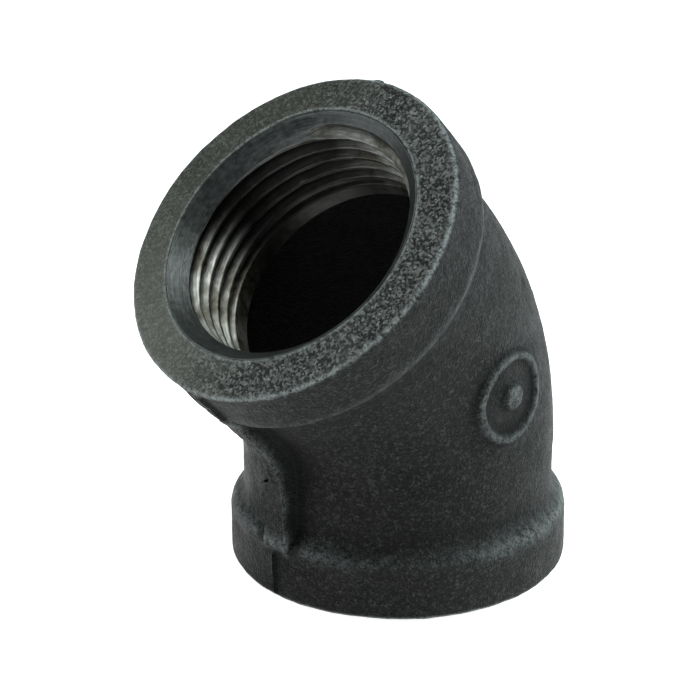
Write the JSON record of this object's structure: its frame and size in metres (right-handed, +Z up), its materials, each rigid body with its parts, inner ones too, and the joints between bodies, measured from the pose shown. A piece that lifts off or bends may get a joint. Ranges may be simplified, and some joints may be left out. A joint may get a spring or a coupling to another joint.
{
  "type": "pipe elbow",
  "caption": "Forty-five degree pipe elbow of black malleable iron with a banded end and an internal taper pipe thread at each port.",
  "frame": {"origin": "centre of the lower port's end face, on that port's axis", "axes": "+Z runs up the lower port into the elbow; the upper port leans from +Z towards -Y by 45 degrees; X is across the plane of the bend"},
  "size_m": [0.045, 0.0584, 0.064],
  "materials": {
    "cast_skin": "as-cast, black, matte sand texture",
    "cut_thread": "machined iron with a thin film of dark oil"
  },
  "bodies": {
    "root": {"lower_barrel": "cast_skin", "bend_wall": "cast_skin", "upper_barrel": "cast_skin", "lower_band": "cast_skin", "upper_band": "cast_skin", "lower_thread": "cut_thread", "upper_thread": "cut_thread", "throat_rib": "cast_skin", "back_seam": "cast_skin", "mark_ring": "cast_skin", "mark_dot": "cast_skin"}
  },
  "joints": []
}
